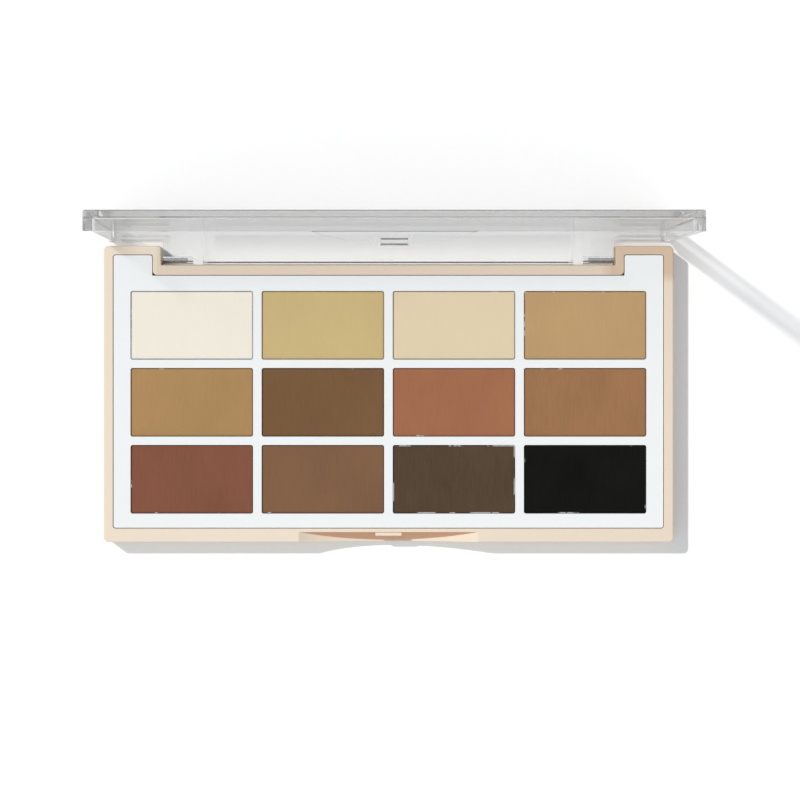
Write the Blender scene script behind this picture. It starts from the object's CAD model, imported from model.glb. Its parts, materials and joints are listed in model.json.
import json
import math

import bmesh
import bpy
from mathutils import Matrix, Vector, noise


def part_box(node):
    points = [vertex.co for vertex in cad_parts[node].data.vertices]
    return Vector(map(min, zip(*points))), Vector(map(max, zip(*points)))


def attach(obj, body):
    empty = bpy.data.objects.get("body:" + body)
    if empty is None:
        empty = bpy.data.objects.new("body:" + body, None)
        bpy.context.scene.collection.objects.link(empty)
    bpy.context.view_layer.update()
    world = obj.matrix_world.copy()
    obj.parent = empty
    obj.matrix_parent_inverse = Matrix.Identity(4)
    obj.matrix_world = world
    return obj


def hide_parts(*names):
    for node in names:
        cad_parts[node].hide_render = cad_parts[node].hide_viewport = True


# An open eyeshadow palette: beige base, white tray, twelve metal pans of pressed powder and a clear
# lid standing on its hinge pins. Shapes are worked out in millimetres and turned into metres as each
# piece becomes an object.

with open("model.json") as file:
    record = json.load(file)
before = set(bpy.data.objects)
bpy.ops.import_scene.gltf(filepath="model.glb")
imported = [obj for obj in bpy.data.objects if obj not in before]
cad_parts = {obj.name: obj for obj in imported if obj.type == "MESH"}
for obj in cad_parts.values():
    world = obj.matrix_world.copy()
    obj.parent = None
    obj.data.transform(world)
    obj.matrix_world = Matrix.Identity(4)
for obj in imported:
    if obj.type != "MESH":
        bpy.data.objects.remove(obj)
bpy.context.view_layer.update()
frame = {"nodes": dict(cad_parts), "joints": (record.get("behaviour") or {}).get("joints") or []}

METRE = 1000.0

# A gap too small to see, and the distances within which points are one point or a face is a sliver
TINY = 0.002
MERGE = TINY / 4
SLIVER = 3 * TINY


def measured(node):
    """A CAD node's lowest and highest corners, in millimetres."""
    low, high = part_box(node)
    return low * METRE, high * METRE


# ---------------------------------------------------------------- shaping tools


def bevel(bm, edges, radius, segments, clamp=False):
    """Rounds edges to a radius."""
    bmesh.ops.bevel(
        bm, geom=edges, offset=radius, segments=segments, profile=0.5, affect="EDGES", material=-1,
        clamp_overlap=clamp,
    )


def block(corners, bottom, top, segments=5):
    """A straight-sided solid over an outline of (x, y, radius) corners."""
    bm = bmesh.new()
    floor = bm.faces.new([bm.verts.new((x, y, bottom)) for x, y, radius in corners])
    raised = bmesh.ops.extrude_face_region(bm, geom=[floor])["geom"]
    lifted = [part for part in raised if isinstance(part, bmesh.types.BMVert)]
    bmesh.ops.translate(bm, verts=lifted, vec=(0, 0, top - bottom))
    bmesh.ops.recalc_face_normals(bm, faces=bm.faces)
    for rounding in sorted({radius for x, y, radius in corners if radius > 0}):
        posts = []
        for x, y, radius in corners:
            if radius == rounding:
                posts += [e for e in bm.edges if stands_at(e, x, y)]
        bevel(bm, posts, rounding, segments)
    return bm


def stands_at(edge, x, y):
    """True for the upright edge at (x, y)."""
    return all(math.hypot(v.co.x - x, v.co.y - y) < TINY for v in edge.verts)


def rectangle(x0, x1, y0, y1, radius):
    return [(x0, y0, radius), (x1, y0, radius), (x1, y1, radius), (x0, y1, radius)]


def box(x0, x1, y0, y1, z0, z1):
    return block(rectangle(x0, x1, y0, y1, 0), z0, z1)


def rod(radius, x0, x1, segments):
    """A round bar along the hinge's axis."""
    bm = bmesh.new()
    place = Matrix.Translation(((x0 + x1) / 2, HINGE.y, HINGE.z)) @ Matrix.Rotation(math.pi / 2, 4, "Y")
    bmesh.ops.create_cone(
        bm, cap_ends=True, segments=segments, radius1=radius, radius2=radius, depth=x1 - x0, matrix=place
    )
    return bm


def arc_slab(chord, depth, level, y0, y1, segments=40):
    """A slab facing along Y whose lower edge is a shallow arc, chord wide at level and depth deep."""
    radius = (chord**2 / 4 + depth**2) / (2 * depth)
    bm = bmesh.new()
    half_angle = math.asin(chord / 2 / radius)
    centre = Vector((0, y0, level - depth + radius))
    start = bm.verts.new(centre + Vector((-math.sin(half_angle), 0, -math.cos(half_angle))) * radius)
    bmesh.ops.spin(
        bm, geom=[start], cent=centre, axis=(0, 1, 0), angle=-2 * half_angle, steps=segments,
        use_duplicate=False,
    )
    bmesh.ops.contextual_create(bm, geom=bm.verts[:] + bm.edges[:])
    far = bmesh.ops.extrude_face_region(bm, geom=bm.faces[:])["geom"]
    moved = [part for part in far if isinstance(part, bmesh.types.BMVert)]
    bmesh.ops.translate(bm, verts=moved, vec=(0, y1 - y0, 0))
    bmesh.ops.recalc_face_normals(bm, faces=bm.faces)
    return bm


def level_edges(bm, z):
    return [e for e in bm.edges if all(abs(v.co.z - z) < TINY for v in e.verts)]


def round_edges(bm, edges, radius, segments=3):
    bevel(bm, edges, radius, segments, clamp=True)


def hidden_object(bm):
    mesh = bpy.data.meshes.new("shape")
    bm.to_mesh(mesh)
    bm.free()
    thing = bpy.data.objects.new("shape", mesh)
    bpy.context.scene.collection.objects.link(thing)
    return thing


def combine(bm, tool, operation):
    """The piece with a tool shape joined to it, or cut out of it. The tool is used up."""
    piece = hidden_object(bm)
    cutter = hidden_object(tool)
    modifier = piece.modifiers.new("combine", "BOOLEAN")
    modifier.operation = operation
    modifier.solver = "EXACT"
    modifier.object = cutter
    shaped = piece.evaluated_get(bpy.context.evaluated_depsgraph_get()).to_mesh()
    result = bmesh.new()
    result.from_mesh(shaped)
    for thing in (piece, cutter):
        mesh = thing.data
        bpy.data.objects.remove(thing)
        bpy.data.meshes.remove(mesh)
    bmesh.ops.remove_doubles(result, verts=result.verts, dist=MERGE)
    return result


def join(bm, tool):
    return combine(bm, tool, "UNION")


def cut(bm, tool):
    return combine(bm, tool, "DIFFERENCE")


def soften(bm, radius, segments=2, flatter_than=0.5, sharper_than=50.0):
    """A small round on every edge that is still sharp, once slivers and needless points are gone."""
    bmesh.ops.remove_doubles(bm, verts=bm.verts, dist=SLIVER)
    bmesh.ops.dissolve_degenerate(bm, edges=bm.edges, dist=SLIVER)
    bmesh.ops.dissolve_limit(
        bm, angle_limit=math.radians(flatter_than), use_dissolve_boundaries=False, verts=bm.verts,
        edges=bm.edges,
    )
    bm.normal_update()
    limit = math.radians(sharper_than)
    sharp = [e for e in bm.edges if e.is_manifold and e.calc_face_angle() > limit]
    bevel(bm, sharp, radius, segments)
    bmesh.ops.remove_doubles(bm, verts=bm.verts, dist=MERGE)


def finished(name, bm, body, material, replaces, smooth_under=34.0):
    """Turns a shape into an object in metres that rides on a body and stands in for CAD nodes."""
    bmesh.ops.scale(bm, vec=(1 / METRE,) * 3, verts=bm.verts)
    bm.normal_update()
    for face in bm.faces:
        face.smooth = True
    limit = math.radians(smooth_under)
    for edge in bm.edges:
        edge.smooth = edge.is_manifold and edge.calc_face_angle() < limit
    mesh = bpy.data.meshes.new(name)
    bm.to_mesh(mesh)
    bm.free()
    mesh.materials.append(material)
    piece = bpy.data.objects.new(name, mesh)
    bpy.context.scene.collection.objects.link(piece)
    flatten = piece.modifiers.new("flat faces stay flat", "WEIGHTED_NORMAL")
    flatten.keep_sharp = True
    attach(piece, body)
    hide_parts(*replaces)
    return piece


# ---------------------------------------------------------------- the lid, drawn closed

lid_high = measured("lid")[1]
base_high = measured("base_shell")[1]
pin_low, pin_high = measured("hinge_pin_right")
HINGE = Vector(frame["joints"][0]["pos_m"]) * METRE
HALF_LENGTH = base_high.x
HALF_DEPTH = base_high.y
RIM = base_high.z
CLOSED_TOP = HINGE.z + lid_high.y - HINGE.y
PIN_RADIUS = (pin_high.z - pin_low.z) / 2

RIM_GAP = 0.1
LID_BOTTOM = RIM + RIM_GAP
LID_PLATE = 1.65
LID_CORNER = 1.1
LID_TOP_ROUND = 0.5
LID_INSIDE_CORNER = 0.7
LID_INSIDE_ROUND = 0.3
LID_EDGE_ROUND = 0.07
SIDE_SKIRT = 1.9
FRONT_SKIRT = 2.2
HINGE_WALL = 2.0
HINGE_WALL_DROP = 0.7
HINGE_WALL_BOTTOM = HINGE.z - HINGE_WALL_DROP
KNUCKLE_END = 50.4
KNUCKLE_WIDTH = 9.0
KNUCKLE_RADIUS = 1.15
KNUCKLE_FILLET = 1.5
BORE_CLEARANCE = 0.05
BORE_RADIUS = PIN_RADIUS + BORE_CLEARANCE
BORE_END = 43.6
SWING_CLEARANCE = 0.15
TONGUE_CHORD = 35.4
TONGUE_DEPTH = 3.0
TONGUE_THICKNESS = 1.0
CATCH_WIDTH = 7.6
CATCH_THICKNESS = 1.3
CATCH_TOP = 7.0
CATCH_MARGIN = 0.1
NUB_WIDTH = 5.5
NUB_REACH = 0.35
NUB_BOTTOM = 4.94
NUB_TOP = 6.04
NUB_ROUND = 0.15

# How deep the tongue and a knuckle's web are rooted in what they join, and how far a cutter reaches
# past what it cuts
TONGUE_ROOT = 0.2
WEB_ROOT = 0.5
CUT_PAST = 1.0


def lid_shell():
    """The plate with its skirt all round, open underneath."""
    outline = rectangle(-HALF_LENGTH, HALF_LENGTH, -HALF_DEPTH, HALF_DEPTH, LID_CORNER)
    shell = block(outline, LID_BOTTOM, CLOSED_TOP)
    round_edges(shell, level_edges(shell, CLOSED_TOP), LID_TOP_ROUND, segments=4)
    inside = rectangle(
        SIDE_SKIRT - HALF_LENGTH, HALF_LENGTH - SIDE_SKIRT, FRONT_SKIRT - HALF_DEPTH, HALF_DEPTH - HINGE_WALL,
        LID_INSIDE_CORNER,
    )
    hollow = block(inside, LID_BOTTOM - CUT_PAST, CLOSED_TOP - LID_PLATE)
    round_edges(hollow, level_edges(hollow, CLOSED_TOP - LID_PLATE), LID_INSIDE_ROUND)
    return cut(shell, hollow)


def knuckle(side):
    """The thick end of the hinge wall, rounded about the pin, with a fillet where it meets the wall."""
    x0, x1 = sorted((side * (KNUCKLE_END - KNUCKLE_WIDTH), side * KNUCKLE_END))
    front = HINGE.y - KNUCKLE_RADIUS
    bottom = HINGE.z - KNUCKLE_RADIUS
    top = CLOSED_TOP - LID_PLATE / 2
    body = box(x0, x1, front, HALF_DEPTH - TINY, bottom, top)
    nose = [
        edge for edge in body.edges
        if all(v.co.y < front + TINY and v.co.z < bottom + TINY for v in edge.verts)
    ]
    round_edges(body, nose, KNUCKLE_RADIUS, segments=8)
    inner = KNUCKLE_END - KNUCKLE_WIDTH
    face = HALF_DEPTH - HINGE_WALL
    w0, w1 = sorted((side * (inner - KNUCKLE_FILLET), side * (inner + WEB_ROOT)))
    web = box(w0, w1, face - KNUCKLE_FILLET, face + WEB_ROOT, HINGE_WALL_BOTTOM, top)
    s0, s1 = sorted((side * (inner - 2 * KNUCKLE_FILLET), side * inner))
    scoop = block(
        rectangle(s0, s1, face - 2 * KNUCKLE_FILLET, face, KNUCKLE_FILLET - TINY),
        HINGE_WALL_BOTTOM - CUT_PAST, CLOSED_TOP, segments=8,
    )
    return join(body, cut(web, scoop))


def catch():
    """The tongue's raised boss and the nub across it that snaps under the base's tab."""
    face = -HALF_DEPTH
    bottom = LID_BOTTOM - TONGUE_DEPTH + CATCH_MARGIN
    boss = box(-CATCH_WIDTH / 2, CATCH_WIDTH / 2, face + TONGUE_THICKNESS / 2, face + CATCH_THICKNESS,
               bottom, CATCH_TOP)
    tip = face + CATCH_THICKNESS + NUB_REACH
    nub = box(-NUB_WIDTH / 2, NUB_WIDTH / 2, face + TONGUE_THICKNESS, tip, NUB_BOTTOM, NUB_TOP)
    ridge = [edge for edge in nub.edges if all(v.co.y > tip - TINY for v in edge.verts)]
    round_edges(nub, ridge, NUB_ROUND)
    return join(boss, nub)


def make_lid():
    lid = lid_shell()
    face = HALF_DEPTH - HINGE_WALL
    lid = join(lid, box(-KNUCKLE_END, KNUCKLE_END, face, HALF_DEPTH - TINY, HINGE_WALL_BOTTOM,
                        CLOSED_TOP - LID_PLATE / 2))
    for side in (-1, 1):
        lid = join(lid, knuckle(side))
    lid = join(lid, arc_slab(TONGUE_CHORD, TONGUE_DEPTH, LID_BOTTOM + TONGUE_ROOT, -HALF_DEPTH + TINY,
                             -HALF_DEPTH + TONGUE_THICKNESS))
    lid = join(lid, catch())
    swing = math.hypot(HALF_DEPTH - HINGE.y, RIM - HINGE.z) + SWING_CLEARANCE
    for side in (-1, 1):
        x0, x1 = sorted((side * KNUCKLE_END, side * (HALF_LENGTH + CUT_PAST)))
        lid = cut(lid, rod(swing, x0, x1, segments=96))
        x0, x1 = sorted((side * BORE_END, side * (KNUCKLE_END + CUT_PAST)))
        lid = cut(lid, rod(BORE_RADIUS, x0, x1, segments=24))
    soften(lid, LID_EDGE_ROUND)
    bmesh.ops.rotate(lid, cent=HINGE, matrix=Matrix.Rotation(-math.pi / 2, 3, "X"), verts=lid.verts)
    return lid


# ---------------------------------------------------------------- finishes


def group(name, inputs, outputs):
    """An empty node group with its named sockets. Each input is (name, kind, value)."""
    tree = bpy.data.node_groups.new(name, "ShaderNodeTree")
    for label, kind, value in inputs:
        socket = tree.interface.new_socket(label, in_out="INPUT", socket_type=kind)
        socket.default_value = value
    for label, kind in outputs:
        tree.interface.new_socket(label, in_out="OUTPUT", socket_type=kind)
    return tree, tree.nodes.new("NodeGroupInput"), tree.nodes.new("NodeGroupOutput")


def math_node(tree, operation, first, second, clamp=False):
    node = tree.nodes.new("ShaderNodeMath")
    node.operation = operation
    node.use_clamp = clamp
    for socket, value in zip(node.inputs, (first, second)):
        feed(tree, value, socket)
    return node.outputs[0]


def feed(tree, value, socket):
    """Links a socket to another, or sets its value."""
    if isinstance(value, bpy.types.NodeSocket):
        tree.links.new(value, socket)
    else:
        socket.default_value = value


def stretched(tree, scale):
    """Object coordinates in metres, scaled separately along X, Y and Z."""
    place = tree.nodes.new("ShaderNodeTexCoord")
    mapping = tree.nodes.new("ShaderNodeMapping")
    tree.links.new(place.outputs["Object"], mapping.inputs["Vector"])
    feed(tree, scale, mapping.inputs["Scale"])
    return mapping.outputs["Vector"]


def noise_value(tree, vector, scale, detail, roughness):
    node = tree.nodes.new("ShaderNodeTexNoise")
    tree.links.new(vector, node.inputs["Vector"])
    node.inputs["Scale"].default_value = scale
    node.inputs["Detail"].default_value = detail
    node.inputs["Roughness"].default_value = roughness
    return node.outputs["Fac"]


def spread(tree, value, low, high, to_low=0.0, to_high=1.0):
    """Takes the range low to high of a value to another range, and clamps it."""
    node = tree.nodes.new("ShaderNodeMapRange")
    feed(tree, value, node.inputs["Value"])
    for label, number in zip(("From Min", "From Max", "To Min", "To Max"), (low, high, to_low, to_high)):
        feed(tree, number, node.inputs[label])
    return node.outputs["Result"]


def blended(tree, factor, first, second, mode="MIX"):
    node = tree.nodes.new("ShaderNodeMix")
    node.data_type = "RGBA"
    node.blend_type = mode
    feed(tree, factor, node.inputs["Factor"])
    colours = [socket for socket in node.inputs if socket.type == "RGBA"]
    feed(tree, first, colours[0])
    feed(tree, second, colours[1])
    return next(socket for socket in node.outputs if socket.type == "RGBA")


def seeded_place(tree, seed):
    """Object coordinates shifted by a seed, so that pieces don't share a pattern."""
    place = tree.nodes.new("ShaderNodeTexCoord")
    shift = tree.nodes.new("ShaderNodeVectorMath")
    shift.operation = "ADD"
    tree.links.new(place.outputs["Object"], shift.inputs[0])
    tree.links.new(seed, shift.inputs[1])
    return shift.outputs[0]


# Noise for pressed powder: scale per metre along X, Y and Z, detail and roughness
DRAG_LINES = ((2600, 230, 2600), 3.0, 0.6)
POWDER_GRAIN = ((9000, 9000, 9000), 2.0, 0.7)
POWDER_UNEVENNESS = ((90, 60, 90), 2.0, 0.5)

# How much of the height and of the unevenness shows as tone, and the span that makes the full change
HEIGHT_SHARE = 0.5
UNEVENNESS_SHARE = 0.7
TONE_SPAN = (0.55, 1.15)


def pressed_texture():
    """The face of a pressed cake: fine crosswise drag lines, a powdery grain and a slow unevenness."""
    tree, inlet, outlet = group(
        "pressed texture",
        [("Drag", "NodeSocketFloat", 1.0), ("Grain", "NodeSocketFloat", 1.0),
         ("Seed", "NodeSocketVector", (0, 0, 0))],
        [("Height", "NodeSocketFloat"), ("Shade", "NodeSocketFloat")],
    )
    place = seeded_place(tree, inlet.outputs["Seed"])

    def layer(scale, detail, roughness):
        mapping = tree.nodes.new("ShaderNodeMapping")
        tree.links.new(place, mapping.inputs["Vector"])
        mapping.inputs["Scale"].default_value = scale
        return noise_value(tree, mapping.outputs["Vector"], 1.0, detail, roughness)

    drag = layer(*DRAG_LINES)
    grain = layer(*POWDER_GRAIN)
    slow = layer(*POWDER_UNEVENNESS)
    drag_part = math_node(tree, "MULTIPLY", drag, inlet.outputs["Drag"])
    grain_part = math_node(tree, "MULTIPLY", grain, inlet.outputs["Grain"])
    height = math_node(tree, "ADD", drag_part, grain_part)
    tree.links.new(height, outlet.inputs["Height"])
    height_part = math_node(tree, "MULTIPLY", height, HEIGHT_SHARE)
    slow_part = math_node(tree, "MULTIPLY", slow, UNEVENNESS_SHARE)
    shade = math_node(tree, "ADD", height_part, slow_part)
    tree.links.new(spread(tree, shade, *TONE_SPAN), outlet.inputs["Shade"])
    return tree


# Noise for moulded plastic: scale per metre, detail and roughness, and the span of the slow noise
# that takes the finish from its glossiest to its dullest
SKIN_FINE = (5200.0, 2.0, 0.6)
SKIN_SLOW = (130.0, 3.0, 0.5)
SKIN_SPAN = (0.35, 0.65)


def moulded_texture():
    """The very fine unevenness of a moulded skin, for bump and for roughness."""
    tree, inlet, outlet = group(
        "moulded texture",
        [("Fineness", "NodeSocketFloat", 1.0), ("Dullest", "NodeSocketFloat", 0.5),
         ("Glossiest", "NodeSocketFloat", 0.4)],
        [("Height", "NodeSocketFloat"), ("Roughness", "NodeSocketFloat")],
    )
    place = tree.nodes.new("ShaderNodeTexCoord")
    scaled = tree.nodes.new("ShaderNodeVectorMath")
    scaled.operation = "SCALE"
    tree.links.new(place.outputs["Object"], scaled.inputs[0])
    tree.links.new(inlet.outputs["Fineness"], scaled.inputs["Scale"])
    fine = noise_value(tree, scaled.outputs[0], *SKIN_FINE)
    slow = noise_value(tree, scaled.outputs[0], *SKIN_SLOW)
    tree.links.new(fine, outlet.inputs["Height"])
    roughness = spread(tree, slow, *SKIN_SPAN, inlet.outputs["Glossiest"], inlet.outputs["Dullest"])
    tree.links.new(roughness, outlet.inputs["Roughness"])
    return tree


def surface_place(tree):
    """The X, Y and Z of a point on the surface, in metres."""
    place = tree.nodes.new("ShaderNodeTexCoord")
    parts = tree.nodes.new("ShaderNodeSeparateXYZ")
    tree.links.new(place.outputs["Object"], parts.inputs["Vector"])
    return [parts.outputs[axis] for axis in "XYZ"]


# Masks of 1 and 0, and slopes between them. A value is in metres, as coordinates are, and the places that it
# is held against are in millimetres.


def past(tree, value, place):
    return math_node(tree, "GREATER_THAN", value, place / METRE)


def short_of(tree, value, place):
    return math_node(tree, "LESS_THAN", value, place / METRE)


def around(tree, value, middle, half_width):
    node = tree.nodes.new("ShaderNodeMath")
    node.operation = "COMPARE"
    for socket, entry in zip(node.inputs, (value, middle / METRE, half_width / METRE)):
        feed(tree, entry, socket)
    return node.outputs[0]


def slope(tree, value, low, high, to_low=0.0, to_high=1.0):
    return spread(tree, value, low / METRE, high / METRE, to_low, to_high)


def both(tree, first, second):
    return math_node(tree, "MULTIPLY", first, second)


def either(tree, first, second):
    return math_node(tree, "MAXIMUM", first, second)


# Where the shell is deeper in tone, and how strong the mask is towards the right and at the rear
DEEPER_FROM = -10.0
DEEPER_RIGHTWARD = 0.2
DEEPER_REAR = 0.3
REAR_RIM = (24.0, 25.6)
REAR_RIM_LEFT = -51.5
REAR_CORNER_X = (46.0, 50.0)
REAR_CORNER_Y = (24.0, 27.0)

# The thumb notch in the base's front wall. Its shade reaches forward from its back wall by a share of the
# depth below the rim, and lies within a half height of its middle.
THUMB_CHORD = 40.0
THUMB_BACK = 30.73
THUMB_SHADE = 0.42
THUMB_SHADE_EDGE = (-0.1, 0.2)
THUMB_SHADE_MIDDLE = 4.8
THUMB_SHADE_HALF_HEIGHT = 2.3
THUMB_MARGIN = 0.02


def deeper_tone(tree):
    """Masks of where the shell's plastic is deeper in tone: first along the rear rim, at its right end and
    a little to the right, and then in the shaded part of the thumb notch."""
    across, back, height = surface_place(tree)
    rightward = slope(tree, across, DEEPER_FROM, HALF_LENGTH, 0.0, DEEPER_RIGHTWARD)
    rear = slope(tree, back, *REAR_RIM, 0.0, DEEPER_REAR)
    rear = both(tree, rear, past(tree, across, REAR_RIM_LEFT))
    corner = both(tree, slope(tree, across, *REAR_CORNER_X), slope(tree, back, *REAR_CORNER_Y))
    edges = either(tree, rightward, either(tree, rear, corner))

    depth = math_node(tree, "SUBTRACT", RIM / METRE, height)
    reach = math_node(tree, "MULTIPLY", depth, THUMB_SHADE)
    forward = math_node(tree, "SUBTRACT", -THUMB_BACK / METRE, back)
    hollow = slope(tree, math_node(tree, "SUBTRACT", reach, forward), *THUMB_SHADE_EDGE)
    middle = (THUMB_BACK + HALF_DEPTH) / -2
    half_depth = (HALF_DEPTH - THUMB_BACK) / 2 + THUMB_MARGIN
    hollow = both(tree, hollow, around(tree, across, 0.0, THUMB_CHORD / 2))
    hollow = both(tree, hollow, around(tree, back, middle, half_depth))
    hollow = both(tree, hollow, around(tree, height, THUMB_SHADE_MIDDLE, THUMB_SHADE_HALF_HEIGHT))
    return edges, hollow


# How much lamp light the standing lid stops or lets through, and where its plate is a little duller
SKIRT_STOPS = 0.32
SKIRT_MARGIN = 0.4
LEFT_FOOT = (10.0, 20.0)
DULL_FROM = (18.0, 24.0)
DULL_TO = (35.5, 39.0)
DULL_RIGHT = 37.0
DULL_CORNER_LEFT = 43.0
DULL_CORNER_TOP = (15.0, 19.0)
DULL_EDGE_LEFT = 45.0
DULL_EDGE_BOTTOM = 30.0
DULL_EDGE_SHARE = 0.5
PLATE_PASSES = (0.99, 0.92)
WALL_SPAN = (30.5, 37.0)
WALL_PASSES = (1.15, 0.74)
WALL_FRONT_STOPS = 0.75

# Lines and tones seen in the lid: how strong each is, and where
EDGE_MARGIN = 0.1
LINE_STRENGTH = 0.95
LINE_HALF_WIDTH = 0.18
LINE_MARGIN = 0.05
LINE_DEPTH = 0.5
LIP_STRENGTH = 0.9
LIP_WIDTH = 0.2
THICK_SKIRT = (58.0, 64.0)
THICK_STRENGTH = 0.18


def standing(depth_closed):
    """The height above the table of a place on the standing lid that has this Y when it is closed."""
    return HINGE.z + HINGE.y - depth_closed


def lying(height_closed):
    """The Y of a place on the standing lid that has this height when it is closed."""
    return HINGE.y + height_closed - HINGE.z


def light_passed(tree, place):
    """How much lamp light gets through the lid: least at the right skirt, at the foot of the left one and
    through the front edge of the hinge wall. Just behind that edge the wall passes more than all of it, as
    clear plastic does where it gathers light, and towards its back it passes less."""
    across, back, height = place
    inner = HALF_LENGTH - SIDE_SKIRT - SKIRT_MARGIN
    left = both(tree, short_of(tree, across, -inner), slope(tree, height, *LEFT_FOOT, 1.0, 0.0))
    skirts = either(tree, past(tree, across, inner), left)

    dull = both(tree, slope(tree, height, *DULL_FROM), slope(tree, height, *DULL_TO, 1.0, 0.0))
    dull = both(tree, dull, short_of(tree, across, DULL_RIGHT))
    corner = both(tree, past(tree, across, DULL_CORNER_LEFT), slope(tree, height, *DULL_CORNER_TOP, 1.0, 0.0))
    edge = both(tree, past(tree, across, DULL_EDGE_LEFT), past(tree, height, DULL_EDGE_BOTTOM))
    edge = math_node(tree, "MULTIPLY", edge, DULL_EDGE_SHARE)
    dull = either(tree, either(tree, dull, corner), edge)
    plate = spread(tree, dull, 0.0, 1.0, *PLATE_PASSES)

    gathered = slope(tree, back, *WALL_SPAN, *WALL_PASSES)
    wall = spread(tree, on_hinge_wall(tree, height), 0.0, 1.0, 1.0, gathered)
    stopped = math_node(tree, "MULTIPLY", skirts, SKIRT_STOPS)
    front = short_of(tree, back, lying(HINGE_WALL_BOTTOM) + EDGE_MARGIN)
    front = math_node(tree, "MULTIPLY", front, WALL_FRONT_STOPS)
    passed = math_node(tree, "SUBTRACT", both(tree, plate, wall), stopped)
    return math_node(tree, "SUBTRACT", passed, front)


def on_hinge_wall(tree, height):
    return short_of(tree, height, standing(HALF_DEPTH - HINGE_WALL) + EDGE_MARGIN)


def clearness(tree, place):
    """How clear the lid looks: least at the ridges of the catch and at the hinge wall's front edge, and a
    little less in the skirt at its free edge."""
    across, back, height = place
    lower = around(tree, back, lying(NUB_BOTTOM), LINE_HALF_WIDTH)
    ridges = either(tree, lower, around(tree, back, lying(NUB_TOP), LINE_HALF_WIDTH))
    ridges = both(tree, ridges, around(tree, height, standing(CATCH_THICKNESS - HALF_DEPTH), LINE_DEPTH))
    ridges = both(tree, ridges, around(tree, across, 0.0, NUB_WIDTH / 2 + LINE_MARGIN))
    ridges = math_node(tree, "MULTIPLY", ridges, LINE_STRENGTH)

    lip = short_of(tree, back, lying(HINGE_WALL_BOTTOM) + EDGE_MARGIN + LIP_WIDTH)
    lip = both(tree, lip, math_node(tree, "MULTIPLY", on_hinge_wall(tree, height), LIP_STRENGTH))
    thick = slope(tree, height, *THICK_SKIRT, 0.0, THICK_STRENGTH)
    thick = both(tree, thick, past(tree, back, lying(LID_BOTTOM)))
    dark = math_node(tree, "ADD", thick, either(tree, lip, ridges))
    return math_node(tree, "SUBTRACT", 1.0, dark)


# Dust on a pan's rim: the noise of its patches, how sharply they end, and the heights over which it sets in
DUST_PATCHES = (160.0, 3.0, 0.75)
DUST_SHARPNESS = 30.0
DUST_HEIGHT = (6.0, 6.6)


def rim_dust():
    """Powder caught on the upper rim of a pan, with bare metal showing where it has chipped off."""
    tree, inlet, outlet = group(
        "rim dust",
        [("Bare", "NodeSocketFloat", 0.1), ("Seed", "NodeSocketVector", (0, 0, 0))],
        [("Mask", "NodeSocketFloat")],
    )
    patches = noise_value(tree, seeded_place(tree, inlet.outputs["Seed"]), *DUST_PATCHES)
    covered = math_node(tree, "SUBTRACT", patches, inlet.outputs["Bare"])
    kept = math_node(tree, "MULTIPLY", covered, DUST_SHARPNESS, clamp=True)
    height = surface_place(tree)[2]
    tree.links.new(both(tree, kept, slope(tree, height, *DUST_HEIGHT)), outlet.inputs["Mask"])
    return tree


PRESSED = pressed_texture()
RIM_DUST = rim_dust()
MOULDED = moulded_texture()


def material(name):
    finish = bpy.data.materials.new(name)
    finish.use_nodes = True
    tree = finish.node_tree
    return finish, tree, tree.nodes["Principled BSDF"]


def place_group(tree, shared, **values):
    node = tree.nodes.new("ShaderNodeGroup")
    node.node_tree = shared
    for label, value in values.items():
        feed(tree, value, node.inputs[label])
    return node


def bump(tree, shader, height, depth):
    """Turns a height of 0 to 1 into a bump of the given depth in metres."""
    node = tree.nodes.new("ShaderNodeBump")
    node.inputs["Distance"].default_value = depth
    node.inputs["Strength"].default_value = 1.0
    feed(tree, height, node.inputs["Height"])
    tree.links.new(node.outputs["Normal"], shader.inputs["Normal"])


# Depths of bumps, in metres
FINE_RELIEF = 0.000004
POWDER_RELIEF = 0.000022
GLUE_RELIEF = 0.00002

# The thumb notch's shade multiplies the shell's colour by this
NOTCH_TONE = (1.04, 0.78, 0.63, 1)


def moulded_plastic(name, colour, paler, dullest, glossiest, depth=FINE_RELIEF, fineness=1.0, deeper=None):
    """Moulded plastic between two close colours. With deeper, which multiplies the colour, it has the
    shell's deeper tones."""
    finish, tree, shader = material(name)
    skin = place_group(tree, MOULDED, Fineness=fineness, Dullest=dullest, Glossiest=glossiest)
    tone = blended(tree, skin.outputs["Height"], colour, paler)
    if deeper:
        edges, hollow = deeper_tone(tree)
        tone = blended(tree, edges, tone, deeper, "MULTIPLY")
        tone = blended(tree, hollow, tone, NOTCH_TONE, "MULTIPLY")
    tree.links.new(tone, shader.inputs["Base Color"])
    tree.links.new(skin.outputs["Roughness"], shader.inputs["Roughness"])
    bump(tree, shader, skin.outputs["Height"], depth)
    return finish


POWDER_ROUGHNESS = 0.95
POWDER_SPECULAR = 0.12
POWDER_DRAG = 1.0
POWDER_GRAININESS = 0.6


def pressed_powder(name, colour, contrast, seed):
    """Matt pressed powder, from a slightly darker to a slightly lighter tone of its colour."""
    finish, tree, shader = material(name)
    face = place_group(tree, PRESSED, Drag=POWDER_DRAG, Grain=POWDER_GRAININESS, Seed=seed)
    darker = [channel * (1 - contrast) for channel in colour] + [1]
    lighter = [channel * (1 + contrast) for channel in colour] + [1]
    tone = blended(tree, face.outputs["Shade"], darker, lighter)
    tree.links.new(tone, shader.inputs["Base Color"])
    shader.inputs["Roughness"].default_value = POWDER_ROUGHNESS
    shader.inputs["Specular IOR Level"].default_value = POWDER_SPECULAR
    bump(tree, shader, face.outputs["Height"], POWDER_RELIEF)
    return finish


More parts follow.
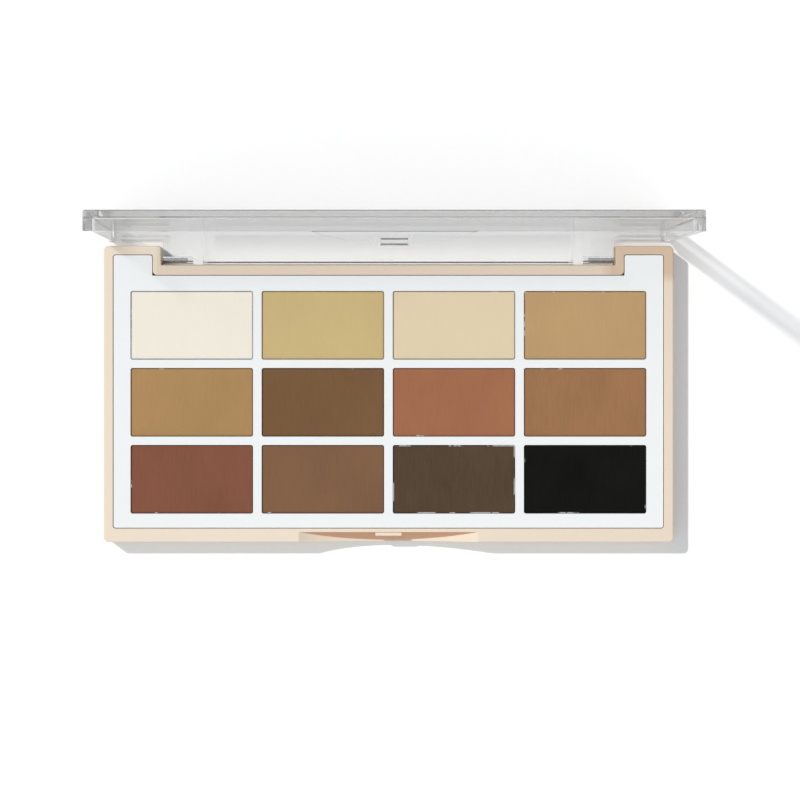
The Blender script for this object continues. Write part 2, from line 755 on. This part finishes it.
# The noise of fine marks in metal as scale, detail and roughness, and how a pan's metal looks where it is
# bare. Dust on the rim is darker than the cake by its tone.
MARKS = (1.0, 3.0, 0.6)
PAN_MARKS = (1400, 1400, 1400)
PAN_DIM = (0.60, 0.60, 0.61, 1)
PAN_BRIGHT = (0.76, 0.76, 0.77, 1)
PAN_ROUGHNESS = 0.32
DUST_TONE = 0.62


def dusted_pan(name, colour, bare, seed):
    """Stamped aluminium whose rim is coated with the powder it holds."""
    finish, tree, shader = material(name)
    dust = place_group(tree, RIM_DUST, Bare=bare, Seed=seed).outputs["Mask"]
    marks = noise_value(tree, stretched(tree, PAN_MARKS), *MARKS)
    bare_metal = blended(tree, marks, PAN_DIM, PAN_BRIGHT)
    cake = [channel * DUST_TONE for channel in colour] + [1]
    tree.links.new(blended(tree, dust, bare_metal, cake), shader.inputs["Base Color"])
    tree.links.new(math_node(tree, "SUBTRACT", 1.0, dust), shader.inputs["Metallic"])
    roughness = spread(tree, dust, 0.0, 1.0, PAN_ROUGHNESS, POWDER_ROUGHNESS)
    tree.links.new(roughness, shader.inputs["Roughness"])
    bump(tree, shader, marks, FINE_RELIEF)
    return finish


# Clear plastic, and how many mirror turns and turns of any kind light may take in it before it meets haze
CLEAR_TINT = (0.985, 0.99, 0.99, 1)
CLEAR_IOR = 1.53
BLACK = (0, 0, 0, 1)
HAZE_COLOUR = (0.80, 0.80, 0.80, 1)
MIRROR_TURNS = 2.5
ALL_TURNS = 8.5


def mixed(tree, factor, first, second):
    node = tree.nodes.new("ShaderNodeMixShader")
    tree.links.new(factor, node.inputs["Fac"])
    tree.links.new(first, node.inputs[1])
    tree.links.new(second, node.inputs[2])
    return node.outputs["Shader"]


def clear_plastic():
    """Polished clear plastic. For lamps it is a see-through stand-in that grades the lid's shadow. Light
    that has turned too often inside it meets a pale haze, because it would end in black."""
    finish, tree, shader = material("clear polished plastic")
    place = surface_place(tree)
    tint = blended(tree, clearness(tree, place), BLACK, CLEAR_TINT)
    tree.links.new(tint, shader.inputs["Base Color"])
    shader.inputs["Roughness"].default_value = 0.0
    shader.inputs["IOR"].default_value = CLEAR_IOR
    shader.inputs["Transmission Weight"].default_value = 1.0
    lamp = tree.nodes.new("ShaderNodeBsdfTransparent")
    tree.links.new(light_passed(tree, place), lamp.inputs["Color"])
    haze = tree.nodes.new("ShaderNodeBsdfDiffuse")
    haze.inputs["Color"].default_value = HAZE_COLOUR
    path = tree.nodes.new("ShaderNodeLightPath")
    mirrored = math_node(tree, "GREATER_THAN", path.outputs["Glossy Depth"], MIRROR_TURNS)
    deep = either(tree, mirrored, math_node(tree, "GREATER_THAN", path.outputs["Ray Depth"], ALL_TURNS))
    body = mixed(tree, deep, shader.outputs["BSDF"], haze.outputs["BSDF"])
    surface = mixed(tree, path.outputs["Is Shadow Ray"], body, lamp.outputs["BSDF"])
    tree.links.new(surface, tree.nodes["Material Output"].inputs["Surface"])
    return finish


# The darker tone of a metal's marks, the span of the marks' noise, and how far the roughness varies over it
METAL_DIM = 0.82
MARK_SPAN = (0.3, 0.7)
SMOOTHEST = 0.8
ROUGHEST = 1.3


def metal(name, colour, roughness, scale, depth):
    """Drawn or stamped metal with fine marks; scale stretches the marks along the way it was worked."""
    finish, tree, shader = material(name)
    marks = noise_value(tree, stretched(tree, scale), *MARKS)
    dim = [channel * METAL_DIM for channel in colour] + [1]
    tree.links.new(blended(tree, marks, dim, [*colour, 1]), shader.inputs["Base Color"])
    varied = spread(tree, marks, *MARK_SPAN, roughness * SMOOTHEST, roughness * ROUGHEST)
    tree.links.new(varied, shader.inputs["Roughness"])
    shader.inputs["Metallic"].default_value = 1.0
    bump(tree, shader, marks, depth)
    return finish


# Each shade: its colour in linear light, how strongly its tone varies, and how much of its pan's rim is bare
SHADES = {
    "ivory": ((0.7775, 0.7283, 0.6351), 0.02, 0.47),
    "pale_olive": ((0.5320, 0.4083, 0.1938), 0.04, 0.33),
    "sand": ((0.6730, 0.5619, 0.3867), 0.03, 0.33),
    "camel": ((0.4575, 0.2968, 0.1457), 0.07, 0.33),
    "caramel": ((0.3752, 0.2266, 0.0973), 0.08, 0.33),
    "cocoa": ((0.1744, 0.0948, 0.0447), 0.12, 0.33),
    "sienna": ((0.3231, 0.1350, 0.0693), 0.09, 0.33),
    "almond": ((0.3068, 0.1571, 0.0743), 0.13, 0.33),
    "chestnut": ((0.2089, 0.0826, 0.0497), 0.13, 0.33),
    "mocha": ((0.1983, 0.1041, 0.0573), 0.12, 0.33),
    "espresso": ((0.0859, 0.0560, 0.0347), 0.26, 0.44),
    "black": ((0.0074, 0.0080, 0.0064), 0.35, 0.38),
}

shell_finish = moulded_plastic(
    "beige moulded plastic", (0.735, 0.630, 0.512, 1), (0.765, 0.660, 0.540, 1), dullest=0.48, glossiest=0.36,
    deeper=(0.79, 0.69, 0.61, 1),
)
tray_finish = moulded_plastic(
    "white moulded plastic", (0.755, 0.772, 0.777, 1), (0.785, 0.802, 0.807, 1), dullest=0.62, glossiest=0.52
)
glue_finish = moulded_plastic(
    "milky glue", (0.80, 0.78, 0.70, 1), (0.86, 0.85, 0.78, 1), dullest=0.5, glossiest=0.3,
    depth=GLUE_RELIEF, fineness=0.2,
)
clear_finish = clear_plastic()
pin_finish = metal(
    "drawn steel", (0.66, 0.66, 0.67), roughness=0.25, scale=(6000, 600, 600), depth=FINE_RELIEF
)


# ---------------------------------------------------------------- pieces

CAKE_STEPS = (84, 46)

# How far each shade's pattern is moved from the last one's, in metres
PATTERN_STEP = Vector((0.37, 0.19, 0.0))

# A cake's face sinks a little, unevenly. Along its edges it crumbles, by a share of the way into the band.
# The steps keep one cake's noise away from the next cake's.
SINK = 0.012
SINK_NOISE = 0.35
SINK_STEP = 7.3
CRUMB_BAND = 0.5
CRUMB_NOISE = 1.7
CRUMB_STEP = 3.1
CRUMB_START = 40
CRUMB_LEAST = 0.09
CRUMB_MORE = 0.16


def make_cake(shade, seed):
    """A cake with an uneven face and a worn, crumbly top edge."""
    low, high = measured("powder_" + shade)
    size = high - low
    middle = (low + high) / 2
    cake = bmesh.new()
    bmesh.ops.create_grid(cake, x_segments=CAKE_STEPS[0], y_segments=CAKE_STEPS[1], size=0.5)
    bmesh.ops.scale(cake, vec=(size.x, size.y, 1), verts=cake.verts)
    bmesh.ops.translate(cake, vec=(middle.x, middle.y, high.z), verts=cake.verts)
    wear(cake, low, high, seed)
    lowered = bmesh.ops.extrude_face_region(cake, geom=cake.faces[:])["geom"]
    for part in lowered:
        if isinstance(part, bmesh.types.BMVert):
            part.co.z = low.z
    bmesh.ops.recalc_face_normals(cake, faces=cake.faces)
    return cake


def wear(cake, low, high, seed):
    """Lets the face sink by up to hundredths of a millimetre, and crumbles a thin line along its edges."""
    for vert in cake.verts:
        x, y, z = vert.co
        inset = min(x - low.x, high.x - x, y - low.y, high.y - y)
        drop = SINK * (1 + noise.noise(Vector((x * SINK_NOISE, y * SINK_NOISE, seed * SINK_STEP))))
        if inset < CRUMB_BAND:
            spot = Vector((x * CRUMB_NOISE, y * CRUMB_NOISE, seed * CRUMB_STEP + CRUMB_START))
            crumb = max(0.0, noise.noise(spot))
            drop += (CRUMB_BAND - inset) * (CRUMB_LEAST + CRUMB_MORE * crumb)
        vert.co.z = z - drop


def make_cakes():
    for number, (shade, (colour, contrast, bare)) in enumerate(SHADES.items()):
        seed = PATTERN_STEP * number
        plain = shade.replace("_", " ")
        finish = pressed_powder(plain + " powder", colour, contrast, seed)
        cake = finished("cake_" + shade, make_cake(shade, number), "base", finish, ["powder_" + shade])
        repaint("pan_" + shade, dusted_pan(plain + " pan", colour, bare, seed))
        repaint("adhesive_" + shade, glue_finish)


def repaint(node, finish):
    """Gives a CAD node its finish."""
    slots = frame["nodes"][node].material_slots
    if slots:
        for slot in slots:
            slot.material = finish
    else:
        frame["nodes"][node].data.materials.append(finish)


lid = finished("clear_lid", make_lid(), "lid", clear_finish, ["lid"])
make_cakes()
repaint("base_shell", shell_finish)
repaint("inner_tray", tray_finish)
for node in ("hinge_pin_left", "hinge_pin_right"):
    repaint(node, pin_finish)


# ---------------------------------------------------------------- table, light and camera

# In metres. The table lies a hair below the base's underside, so that the two faces don't share a plane.
TABLE_SIZE = 2.0
TABLE_DROP = 0.00002
PAPER = (0.95, 0.95, 0.95, 1)
PAPER_PALER = (0.97, 0.97, 0.97, 1)
PAPER_GRAIN = (900.0, 2.0, 0.5)
PAPER_ROUGHNESS = 0.9

CAMERA_PLACE = Vector((-0.0138, 0.0114, 0.6794))
CAMERA_LENS = 135.8
CAMERA_SHIFT = (0.0919, -0.0715)
CAMERA_SENSOR = 36.0
CAMERA_CLIP = 0.01

SUN_SLOPE = Vector((0.573, -0.424, -1.0))
SUN_WIDTH = 2.2
SUN_POWER = 2.15
SUN_COLOUR = (1.0, 0.985, 0.965)

# The sky's level rises upwards, to the left and to the front, and never falls below its least
SKY_COLOUR = (0.975, 1.0, 1.025, 1)
SKY_LEVEL = 0.28
SKY_LEAST = 0.32
SKY_RISE = Vector((-0.19, -0.38, 0.47))


def make_table():
    bm = bmesh.new()
    bmesh.ops.create_grid(bm, x_segments=1, y_segments=1, size=TABLE_SIZE)
    bmesh.ops.translate(bm, vec=(0, 0, -TABLE_DROP), verts=bm.verts)
    mesh = bpy.data.meshes.new("table")
    bm.to_mesh(mesh)
    bm.free()
    table = bpy.data.objects.new("table", mesh)
    bpy.context.scene.collection.objects.link(table)
    finish, tree, shader = material("white paper")
    grain = noise_value(tree, stretched(tree, (1, 1, 1)), *PAPER_GRAIN)
    tree.links.new(blended(tree, grain, PAPER, PAPER_PALER), shader.inputs["Base Color"])
    shader.inputs["Roughness"].default_value = PAPER_ROUGHNESS
    mesh.materials.append(finish)


def make_light():
    lamp = bpy.data.lights.new("key light", "SUN")
    lamp.energy = SUN_POWER
    lamp.angle = math.radians(SUN_WIDTH)
    lamp.color = SUN_COLOUR
    key = bpy.data.objects.new("key light", lamp)
    key.rotation_mode = "QUATERNION"
    key.rotation_quaternion = SUN_SLOPE.to_track_quat("-Z", "Y")
    key.visible_transmission = False
    key.visible_glossy = False
    bpy.context.scene.collection.objects.link(key)
    world = bpy.data.worlds.new("pale studio")
    world.use_nodes = True
    tree = world.node_tree
    background = tree.nodes["Background"]
    way = tree.nodes.new("ShaderNodeTexCoord")
    rise = tree.nodes.new("ShaderNodeVectorMath")
    rise.operation = "DOT_PRODUCT"
    tree.links.new(way.outputs["Generated"], rise.inputs[0])
    rise.inputs[1].default_value = SKY_RISE
    level = math_node(tree, "ADD", rise.outputs["Value"], SKY_LEVEL)
    tree.links.new(math_node(tree, "MAXIMUM", level, SKY_LEAST), background.inputs["Strength"])
    background.inputs["Color"].default_value = SKY_COLOUR
    bpy.context.scene.world = world


def make_camera():
    data = bpy.data.cameras.new("camera")
    data.lens = CAMERA_LENS
    data.sensor_width = CAMERA_SENSOR
    data.shift_x, data.shift_y = CAMERA_SHIFT
    data.clip_start = CAMERA_CLIP
    camera = bpy.data.objects.new("camera", data)
    camera.location = CAMERA_PLACE
    bpy.context.scene.collection.objects.link(camera)
    bpy.context.scene.camera = camera
    bpy.context.scene.view_settings.view_transform = "Standard"


make_table()
make_light()
make_camera()
